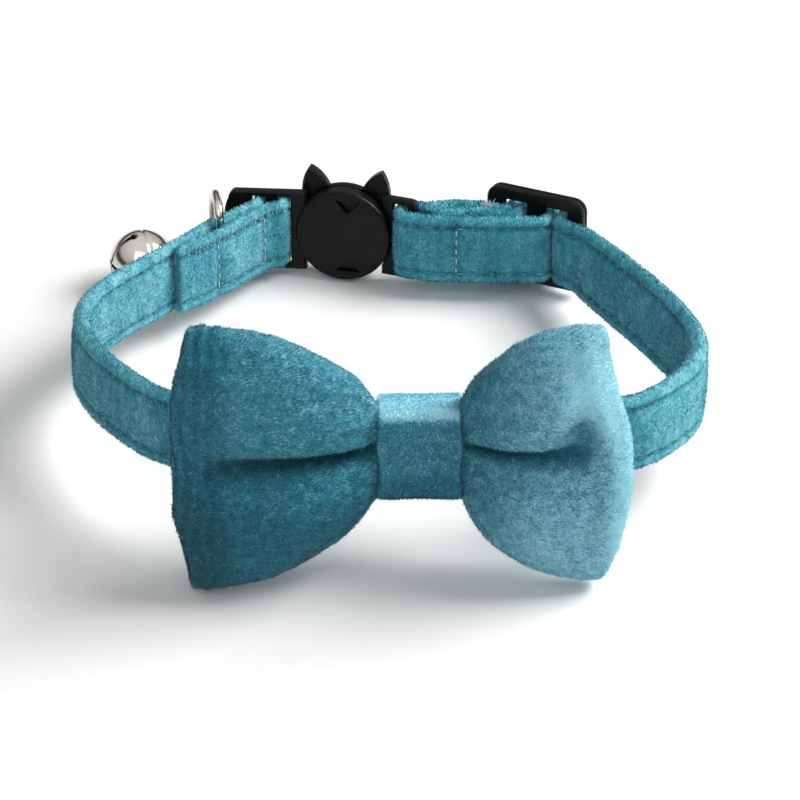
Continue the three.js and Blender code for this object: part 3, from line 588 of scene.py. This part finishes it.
def makeBarTacks(values, rows):
    bm = bmesh.new()
    chance = random.Random(8)
    for station in rows:
        sign = neckSide(station)
        for k in range(values["tackCount"]):
            level = (k - values["tackCount"] // 2) * values["tackPitch"]
            at, out = surfacePoint(station, sign, level, -values["tackSink"])
            slant = (station["up"] + station["heading"] * chance.uniform(-0.12, 0.12)).normalized()
            dash(bm, at, slant, out, chance.uniform(*values["tackLong"]) * mm, values["tackThick"] * mm)
    return asObject("barTacks", bm)


knitLook = {
    "from": 1.5, "to": 30.0, "pitch": 0.95, "long": 1.0, "thick": 0.24, "lift": 0.3,
    "rows": ((0.55, 0.75), (-0.55, 1.35)),  # each row's slant, and its depth from the edge
}


def makeKnitEdge(values, route):
    # the tail's raw edge, overlocked in small slanting loops
    bm = bmesh.new()
    due = values["from"] * mm
    for station in route:
        if station["along"] < due or station["along"] > values["to"] * mm:
            continue
        due += values["pitch"] * mm
        for lean, depth in values["rows"]:
            at, out = surfacePoint(station, neckSide(station), strapLook["tall"] - depth, values["lift"])
            slant = (station["heading"] * lean + station["up"]).normalized()
            dash(bm, at, slant, out, values["long"] * mm, values["thick"] * mm)
    return asObject("knitEdge", bm)


looseLook = {
    "starts": ((-27.6, 0.5), (-20.8, 2.6)),  # x and height on the tail
    "lift": 0.2, "count": 2, "long": 2.2, "curl": 0.55, "radius": 0.1, "seed": 3,
}
tuftLook = {
    "at": (17.0, 36.9, 15.9), "out": (-0.3, -0.4, 0.9),
    "count": 14, "long": 2.2, "curl": 0.25, "radius": 0.07, "seed": 4,
}


def strand(bm, points, radius):
    # a loose end of thread through these points
    ring, edges, turn = turnedRing(bm, 6)
    for i, point in enumerate(points):
        heading = (points[min(i + 1, len(points) - 1)] - points[max(i - 1, 0)]).normalized()
        side = heading.orthogonal().normalized()
        other = heading.cross(side)
        if i:
            ring, edges = grownRing(bm, edges)
        for v in ring:
            v.co = point + (side * math.cos(v[turn]) + other * math.sin(v[turn])) * radius


def makeLooseEnds(name, values, starts):
    bm = bmesh.new()
    chance = random.Random(values["seed"])
    steps, curl = 9, values["curl"]
    for at, out in starts:
        for k in range(values["count"]):
            aside, rise = chance.uniform(-0.8, 0.8), chance.uniform(-0.3, 0.6)
            heading = (out + Vector((aside, 0, rise))).normalized()
            points = [at.copy()]
            for step in range(steps):
                bend = Vector([chance.uniform(-curl, curl) for axis in range(3)])
                heading = (heading + bend).normalized()
                points.append(points[-1] + heading * (values["long"] * chance.uniform(0.7, 1.2) / steps * mm))
            strand(bm, points, values["radius"] * mm)
    inOrder(bm)
    return asObject(name, bm)


def tailStarts(values, route):
    starts = []
    for x, level in values["starts"]:
        station = nearest(route, x, 0, threadLook["tailReach"])
        starts.append(surfacePoint(station, neckSide(station), level, values["lift"]))
    return starts


def threadFinish(name, colour):
    thread = Finish(name)
    twist = thread.node("ShaderNodeTexWave", {
        "Vector": thread.place(turn=(0.5, 0.4, 0.3)), "Scale": 2.4, "Distortion": 0.6}, wave_type="BANDS")
    shaded = tuple(0.72 * c for c in colour)
    thread.set(Base_Color=thread.mix(twist, shaded, colour), Normal=thread.bump(twist, 0.05, 0.6))
    thread.set(Roughness=0.55, Sheen_Weight=0.25)
    return thread


bowLook = {
    "at": (4.89, -33.82, 19.68), "across": (0.99978, 0.02072, -0.00306),
    "up": (-0.00106, 0.19594, 0.98062),
    "pinch": 6.2, "grip": (6.5, 9.5), "frontFrom": -1.2,  # the knot's hold, and where the front begins
    "gather": 0.34, "gatherCount": 17, "gatherFade": 8.0,
    "arch": 0.9, "archAt": 14.0, "archWide": 9.0, "drawIn": 1.4,
    "edgeRibs": 0.16, "ribsFrom": 27.5, "ribsOver": 3.5, "ribsClose": 3.1,
    "softness": 0.35, "fineness": 0.16, "smoothing": 0.4,
    # the crease is cut into the shape, and the last value darkens it further with painted shade
    "crease": 3.8, "creaseWide": 0.55, "creaseSpread": 0.045, "creasePaintedShade": 0.9,
    "leftCrease": (26.0, 1.1, -0.3), "rightCrease": (19.0, 1.3, 1.5),  # length, height and bend
}
# ovals on the right lobe's front; a lean moves one sideways with height, and a rise lifts it with width
bowFolds = [
    {"amount": -1.7, "x": 23.6, "wide": 2.6, "z": 6.0, "tall": 3.4, "lean": 0.0, "rise": 0.7},
    {"amount": 0.8, "x": 27.2, "wide": 2.0, "z": 9.0, "tall": 8.0, "lean": -0.25, "rise": 0.0},
    {"amount": 0.5, "x": 20.5, "wide": 4.0, "z": 11.5, "tall": 3.0, "lean": 0.0, "rise": 0.0},
    {"amount": -0.5, "x": 25.5, "wide": 2.2, "z": -7.0, "tall": 6.0, "lean": 0.3, "rise": 0.0},
]
# painted light and shade on the right lobe: a bright patch high up, and painted shade in the hollow
bowPaintedLightSpots = [
    {"amount": 0.5, "x": 26.0, "wide": 5.5, "z": 14.0, "tall": 8.0, "lean": 0.0, "rise": 0.0},
    {"amount": -0.34, "x": 23.8, "wide": 2.2, "z": 6.2, "tall": 3.2, "lean": 0.0, "rise": 0.0},
]
fillLook = {
    "mass": 0.3, "pressure": 30.0, "stretch": 15.0, "bend": 0.5, "quality": 8, "frames": 20,
    "cap": 0.6,  # the furthest that a point may move, in mm
}


def filled(thing, values, held):
    # a short cloth simulation rounds the cover over its filling, and its moves are capped
    before = [v.co.copy() for v in thing.data.vertices]
    group = thing.vertex_groups.new(name="held")
    for v in thing.data.vertices:
        group.add([v.index], held(v.co), "REPLACE")
    sim = thing.modifiers.new("filling", "CLOTH")
    cover = sim.settings
    cover.quality, cover.mass, cover.vertex_group_mass = values["quality"], values["mass"], "held"
    cover.use_pressure, cover.uniform_pressure_force = True, values["pressure"]
    cover.tension_stiffness = cover.compression_stiffness = values["stretch"]
    cover.bending_stiffness = values["bend"]
    cover.effector_weights.gravity = 0
    sim.collision_settings.use_collision = False
    for step in range(1, values["frames"] + 1):
        bpy.context.scene.frame_set(step)
    baked(thing)
    bpy.context.scene.frame_set(1)
    moves = [v.co - start for v, start in zip(thing.data.vertices, before)]
    for v, start, move in zip(thing.data.vertices, before, moves):
        if move.length > values["cap"] * mm:
            v.co = start + move.normalized() * values["cap"] * mm
    thing.vertex_groups.clear()
    print("filled", thing.name, "furthest move", round(max(move.length for move in moves) / mm, 2), "mm")


def creaseAt(values, x, z):
    # how deep the knot's crease is here: sharp near the knot, gone towards the lobe's end
    length, level, bend = values["leftCrease"] if x < 0 else values["rightCrease"]
    reach = abs(x) - values["pinch"]
    away = max(0.0, 1 - reach / length)
    middle = level + bend * (reach / length) ** 2
    return away ** 0.5 * hump(z, middle, values["creaseWide"] + values["creaseSpread"] * reach)


def oval(row, x, z):
    across = hump(x, row["x"] + row["lean"] * (z - row["z"]), row["wide"])
    return row["amount"] * across * hump(z, row["z"] + row["rise"] * (x - row["x"]), row["tall"])


def bowPaintedLight(values, p):
    # painted light and shade: the left lobe is painted dark, most of all low down and at its end; the right
    # one is painted bright, with painted shade in its hollow and along the crease
    x, z = p.x, p.z
    if x < -6:
        paintedLightAndTone = -0.08 + 0.1 * ramp(z, -2, 8) - 0.16 * ramp(-z, 1, 10) - 0.16 * ramp(-x, 27, 31)
    elif x > 6:
        paintedLightAndTone = 0.06 + 0.14 * ramp(x, 6, 18) + 0.66 * ramp(x, 26.5, 32) + 0.12 * ramp(-z, 2, 12)
        paintedLightAndTone += sum(oval(row, x, z) for row in bowPaintedLightSpots)
    else:
        paintedLightAndTone = 0
    return paintedLightAndTone - (values["creasePaintedShade"] * creaseAt(values, x, z) if p.y < values["frontFrom"] else 0)


def bowPush(values, place, p, reach):
    # how far the cover stands out here, in mm
    side = -1 if p.x < 0 else 1
    front = p.y < values["frontFrom"]
    # small folds run out from the knot and die away
    angle = math.atan2(p.z, reach + 7)
    gather = math.sin(angle * values["gatherCount"] + 1.3 * side + ripple(place, 9, 2) * 2.5)
    push = values["gather"] * gather * math.exp(-reach / values["gatherFade"]) * min(1, reach / 2)
    if side < 0:
        # the left end is crushed into fine upright ribs
        ribs = max(0.0, min(1.0, (abs(p.x) - values["ribsFrom"]) / values["ribsOver"]))
        wave = math.sin((p.x + 1.1 * ripple(place, 8, 4)) * values["ribsClose"])
        push += values["edgeRibs"] * ribs * (wave + 0.8 * ripple(place, 1.5, 9))
    elif front:
        # a hollow curls up near the right end, with soft ridges and a dent beside it
        push += sum(oval(row, p.x, p.z) for row in bowFolds)
    if front:
        push -= values["crease"] * creaseAt(values, p.x, p.z)
    return push + values["softness"] * ripple(place, 10, 1) + values["fineness"] * ripple(place, 3.2, 6)


def makeBow(values):
    bm = cadCopy("bow")
    bmesh.ops.join_triangles(bm, faces=bm.faces, angle_face_threshold=1.2, angle_shape_threshold=1.6)
    bow = asObject("bowVelvet", bm)
    local = placed(values["at"], values["across"], values["up"])
    back, turn = local.inverted(), local.to_3x3()

    def held(place):
        # the knot's grip holds the cover, which comes free a little way out
        return 1 - ramp(abs((back @ place / mm).x), *values["grip"])

    finer(bow, 1)
    filled(bow, fillLook, held)
    finer(bow, 2)
    bm = bmesh.new()
    bm.from_mesh(bow.data)
    bm.normal_update()
    for v in bm.verts:
        p = back @ v.co / mm
        reach = abs(p.x) - values["pinch"]
        if reach < 0.2:
            continue
        push = bowPush(values, v.co, p, reach)
        # the lobes' upper edges arch, and the right end draws in towards its upper corner
        arch = values["arch"] * hump(reach, values["archAt"], values["archWide"]) * ramp(p.z, 4, 14)
        drawn = values["drawIn"] * ramp(p.x, 20, 32) * hump(p.z, 13, 8)
        v.co += turn @ Vector((-drawn, 0, arch + 0.4 * drawn)) * mm + v.normal * (push * mm)
    bmesh.ops.smooth_vert(
        bm, verts=bm.verts, factor=values["smoothing"], use_axis_x=True, use_axis_y=True, use_axis_z=True)
    bm.to_mesh(bow.data)
    bm.free()
    bow.data.polygons.foreach_set("use_smooth", [True] * len(bow.data.polygons))
    storePaintedLight(bow, lambda place: bowPaintedLight(values, back @ place / mm))
    return bow


knotLook = {
    "wall": 1.15, "rim": 0.4, "slices": 26, "around": 72, "square": 5.0, "waist": 0.1,
    # the last two are a painted highlight on the top edge and painted shade low down
    "wave": 0.22, "edgeWave": 0.03, "paintedHighlightTop": 0.7, "paintedShadeLow": 0.12,
}


def makeKnot(values):
    local = placed(bowLook["at"], bowLook["across"], bowLook["up"])
    back = local.inverted()
    solid = cadCopy("knot")
    corners = [back @ v.co / mm for v in solid.verts]
    solid.free()
    low, high = (Vector([pick(c[i] for c in corners) for i in range(3)]) for pick in (min, max))
    middle, (wide, deep, tall) = (low + high) / 2, (high - low) / 2
    bm = bmesh.new()
    ring, edges, turn = turnedRing(bm, values["around"])

    def shape(verts, share):
        for v in verts:
            c, s = math.cos(v[turn]), math.sin(v[turn])
            size = (abs(c) ** values["square"] + abs(s) ** values["square"]) ** (-1 / values["square"])
            y, z = c * size * deep, s * size * tall
            front = max(0.0, -c)
            x = share * wide * (1 + values["edgeWave"] * front * math.sin(z * 0.7))
            dip = values["waist"] * front * (1 - abs(share) ** 3)
            wave = values["wave"] * ripple((share * 0.004, y * mm, z * mm), 3.5, 8)
            v.co = local @ ((middle + Vector((x, y + dip + wave * c, z + wave * s))) * mm)

    shape(ring, -1)
    for k in range(1, values["slices"] + 1):
        ring, edges = grownRing(bm, edges)
        shape(ring, -1 + 2 * k / values["slices"])
    bmesh.ops.recalc_face_normals(bm, faces=bm.faces)
    inOrder(bm)
    knot = asObject("knotVelvet", bm)
    wall = knot.modifiers.new("wall", "SOLIDIFY")
    wall.thickness, wall.offset = values["wall"] * mm, -1
    soft = knot.modifiers.new("soft", "BEVEL")
    soft.width, soft.segments, soft.limit_method, soft.angle_limit = values["rim"] * mm, 3, "ANGLE", 1.0
    baked(knot)

    def paintedLightAndTone(place):
        # painted highlight along its top edge, and painted shade low down
        z = (back @ place / mm - middle).z
        return values["paintedHighlightTop"] * ramp(z, tall - 2.0, tall - 0.3) - values["paintedShadeLow"] * ramp(-z, 1, 5)

    storePaintedLight(knot, paintedLightAndTone)
    return knot


def nickelFinish():
    nickel = Finish("polishedNickel")
    scuff = nickel.grain(nickel.place(scale=(0.3, 2.2, 0.6)), 1.2, 4, 0.6)
    smear = nickel.grain(nickel.place(), 0.35, 2)
    nickel.set(Base_Color=nickel.mix(smear, (0.60, 0.565, 0.54), (0.70, 0.665, 0.635)), Metallic=1.0)
    nickel.set(Roughness=nickel.rise(scuff, 0.35, 0.85) * 0.1 + 0.09, Normal=nickel.bump(smear, 0.03, 0.25))
    return nickel


def plasticFinish():
    plastic = Finish("satinBlackPlastic")
    skin = plastic.grain(plastic.place(), 5.5, 3, 0.6)
    wear = plastic.grain(plastic.place(), 0.5, 4, 0.65)
    worn = plastic.rise(wear, 0.4, 0.75)
    plastic.set(Base_Color=plastic.mix(worn, (0.004, 0.004, 0.0042), (0.009, 0.0088, 0.0088)))
    plastic.set(Roughness=plastic.rise(wear, 0.3, 0.8) * 0.14 + 0.34, Normal=plastic.bump(skin, 0.018, 0.5))
    plastic.set(Specular_IOR_Level=0.14)
    return plastic


ringLook = {
    "at": (-27.922, 32.095, 10.699), "across": (-0.13917, 0.97964, -0.14466), "up": (0, 0.14608, 0.98927),
    "wire": 0.8, "half": 7.6, "reach": 12.2, "corner": 2.0,
}
linkLook = {
    "at": (-31.039, 40.115, 3.974), "across": (-0.9306, -0.33871, 0.13875), "up": (0.34202, -0.93969, 0),
    "wire": 0.45, "radius": 3.55,
}


def wireLoop(name, points, radius, local, sides):
    # a round wire that follows a closed flat line
    bm = bmesh.new()
    ring, edges, turn = turnedRing(bm, sides)
    count = len(points)

    def shape(verts, i):
        heading = (points[(i + 1) % count] - points[i - 1]).normalized()
        out = Vector((heading.z, 0, -heading.x))
        for v in verts:
            aside = Vector((0, radius * math.sin(v[turn]), 0))
            v.co = local @ ((points[i] + out * (radius * math.cos(v[turn])) + aside) * mm)

    shape(ring, 0)
    for i in range(1, count):
        ring, edges = grownRing(bm, edges)
        shape(ring, i)
    bmesh.ops.bridge_loops(bm, edges=[e for e in bm.edges if e.is_boundary])
    bmesh.ops.recalc_face_normals(bm, faces=bm.faces)
    inOrder(bm)
    return asObject(name, bm)


def arcPoints(x, z, radius, start, end, steps):
    angles = [math.radians(start + (end - start) * i / steps) for i in range(steps + 1)]
    return [Vector((x + radius * math.cos(a), 0, z + radius * math.sin(a))) for a in angles]


def circlePoints(radius, steps):
    return arcPoints(0, 0, radius, 0, 360, steps)[:-1]


def ringLine(values):
    # a D: its straight side lies in the strap, and its round side stands out
    half, corner, reach = values["half"], values["corner"], values["reach"]
    points = arcPoints(corner, half - corner, corner, 180, 90, 10)
    points += arcPoints(reach - half, 0, half, 90, -90, 48)
    points += arcPoints(corner, corner - half, corner, -90, -180, 10)
    return points + [Vector((0, 0, (corner - half) * (1 - i / 3))) for i in range(1, 6)]


bellLook = {
    "at": (-41.275, 36.389, 5.5), "across": (-0.9306, -0.33871, 0.13875), "up": (0.13038, 0.04746, 0.99033),
    "radius": 5.5, "wall": 0.7, "rim": 0.07, "seam": 0.16, "seamWide": 0.22,
    "slit": 0.75, "slitEnd": 0.72, "slitReach": 68, "clear": 1.0,  # the cutters stand clear of the shell
    "loopRadius": 1.8, "loopWire": 0.45, "loopFrom": 1.35,
}


def cut(target, bm):
    cutter = asObject("cutter", bm)
    knife = target.modifiers.new("cut", "BOOLEAN")
    knife.operation, knife.object, knife.solver = "DIFFERENCE", cutter, "EXACT"
    baked(target)
    bpy.data.objects.remove(cutter)


def makeBellShell(values, local):
    radius, reach, clear = values["radius"], math.radians(values["slitReach"]), values["clear"]
    quarter = Matrix.Rotation(math.pi / 2, 4, "Y")
    bm = bmesh.new()
    bmesh.ops.create_uvsphere(bm, u_segments=96, v_segments=64, radius=radius * mm, matrix=quarter)
    for v in bm.verts:
        # the two pressed halves meet in a fine seam round the middle
        v.co *= 1 - values["seam"] / radius * hump(v.co.x / mm, 0, values["seamWide"])
    inside = (radius - values["wall"]) * mm
    inner = bmesh.ops.create_uvsphere(bm, u_segments=64, v_segments=40, radius=inside, matrix=quarter)
    bmesh.ops.reverse_faces(bm, faces=list({f for v in inner["verts"] for f in v.link_faces}))
    shell = asObject("bellShell", bm)

    # two crossed slits, each a slot with a round hole at both ends
    deep, long = radius * (1 - math.cos(reach)) + clear, 2 * radius * math.sin(reach)
    size, hole = Matrix.Diagonal((deep * mm, long * mm, values["slit"] * mm, 1)), values["slitEnd"] * mm
    for turn in (0, math.pi / 2):
        spin = Matrix.Rotation(turn, 4, "X")
        bm = bmesh.new()
        middle = Matrix.Translation(((radius + clear - deep / 2) * mm, 0, 0))
        bmesh.ops.create_cube(bm, size=1, matrix=spin @ middle @ size)
        cut(shell, bm)
        for side in (1, -1):
            bm = bmesh.new()
            swung = Matrix.Rotation(side * reach, 4, "Z") @ Matrix.Translation((radius * mm, 0, 0))
            bmesh.ops.create_cone(bm, cap_ends=True, segments=24, radius1=hole, radius2=hole,
                                  depth=3 * clear * mm, matrix=spin @ swung @ quarter)
            cut(shell, bm)
    rim = shell.modifiers.new("rim", "BEVEL")
    rim.width, rim.segments, rim.limit_method, rim.angle_limit = values["rim"] * mm, 2, "ANGLE", 0.9
    baked(shell)
    shell.data.transform(local)
    return shell


def makeBellLoop(values, local):
    foot = Matrix.Translation((-(values["radius"] + values["loopFrom"]) * mm, 0, 0))
    flat = Matrix.Rotation(math.pi / 2, 4, "X")
    circle = circlePoints(values["loopRadius"], 48)
    return wireLoop("bellLoop", circle, values["loopWire"], local @ foot @ flat, 16)


makeStudio(studio)
print("studio ready")

nickel, plastic = nickelFinish(), plasticFinish()
strapVelvet = velvet("strapVelvet", velvetLook["strap"], (0.9, 0.9, 0.35))
bowVelvet = velvet("bowVelvet", velvetLook["bow"], (0.3, 0.9, 0.9))
strapPile = pileFinishes("strapPile", velvetLook["strap"])
bowPile = pileFinishes("bowPile", velvetLook["bow"])

route = smoothRoute(strapRings(), strapLook["step"])
tacks = tackRows(threadLook, route)
band = makeBand(strapLook, route, tacks)
onBody(band, ["band"], strapVelvet)
growPile("bandPile", band, pileLook["bandDensity"], (0.0, 0.15, 1.0), 11, strapPile)
print("strap ready, stations", len(route))

bow = makeBow(bowLook)
onBody(bow, ["bow"], bowVelvet)
growPile("bowPile", bow, pileLook["bowDensity"], (1.0, 0.0, 0.25), 21, bowPile)
knot = makeKnot(knotLook)
onBody(knot, ["knot"], bowVelvet)
growPile("knotPile", knot, pileLook["knotDensity"], (0.15, 0.0, 1.0), 31, bowPile)
print("bow ready, faces", len(bow.data.polygons))

tealThread = threadFinish("tealThread", (0.20, 0.52, 0.60))
paleThread = threadFinish("paleThread", (0.62, 0.78, 0.80))
blueThread = threadFinish("blueThread", (0.06, 0.42, 0.62))
onBody(makeTopStitch(threadLook, route), finish=tealThread)
onBody(makeBarTacks(threadLook, tacks), finish=paleThread)
loose = makeLooseEnds("looseThread", looseLook, tailStarts(looseLook, route))
onBody(loose, finish=blueThread)
tuft = makeLooseEnds("frayedTuft", tuftLook, [(Vector(tuftLook["at"]) * mm, Vector(tuftLook["out"]))])
onBody(tuft, finish=paleThread)
onBody(makeKnitEdge(knitLook, route), finish=tealThread)
print("thread ready")

ringFrame = placed(ringLook["at"], ringLook["across"], ringLook["up"])
linkFrame = placed(linkLook["at"], linkLook["across"], linkLook["up"])
bellFrame = placed(bellLook["at"], bellLook["across"], bellLook["up"])
ring = wireLoop("ringWire", ringLine(ringLook), ringLook["wire"], ringFrame, 20)
onBody(ring, ["d_ring"], nickel)
link = wireLoop("linkWire", circlePoints(linkLook["radius"], 72), linkLook["wire"], linkFrame, 16)
onBody(link, ["jump_ring"], nickel)
onBody(makeBellShell(bellLook, bellFrame), ["bell"], nickel)
onBody(makeBellLoop(bellLook, bellFrame), finish=nickel)
for node in ("buckle_disc_half", "buckle_ear_half", "slider", "bell_pellet"):
    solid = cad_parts[node]
    solid.data.materials.clear()
    solid.data.materials.append((nickel if node == "bell_pellet" else plastic).material)
print("hardware ready")
